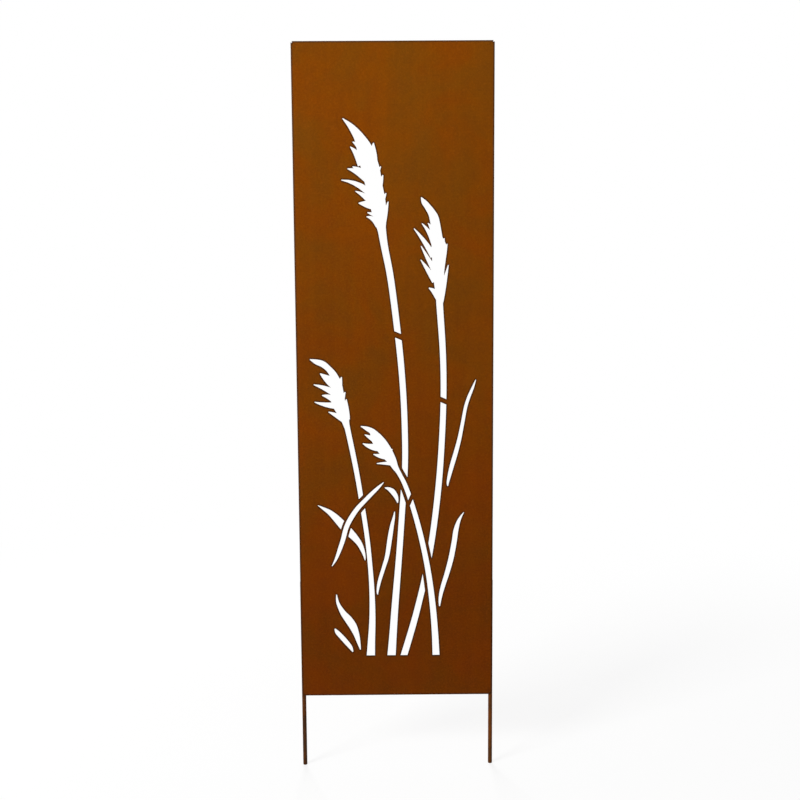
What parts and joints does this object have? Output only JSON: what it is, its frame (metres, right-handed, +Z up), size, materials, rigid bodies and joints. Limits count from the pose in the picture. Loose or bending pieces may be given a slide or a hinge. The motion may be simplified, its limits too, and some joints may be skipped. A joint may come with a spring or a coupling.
{
  "type": "garden screen",
  "caption": "Slim upright garden screen: a rust brown sheet with hemmed edges, a cut-out picture of plumed grasses, and round rod stakes behind its lower sides.",
  "frame": {"origin": "on the ground line, which is the panel's bottom edge, midway between the axes of the two stakes", "axes": "+X across the screen to the viewer's right, the cut front faces -Y, +Z up"},
  "size_m": [0.3016, 0.0092, 1.116],
  "materials": {
    "rusted_sheet": "evenly rusted steel sheet, matt orange brown",
    "rusted_rod": "rusted steel rod, matt grey brown",
    "weld_metal": "rusted weld bead, dull dark brown"
  },
  "bodies": {
    "root": {"screen_panel": "rusted_sheet", "left_stake": "rusted_rod", "right_stake": "rusted_rod", "left_stake_welds": "weld_metal", "right_stake_welds": "weld_metal"}
  },
  "joints": []
}
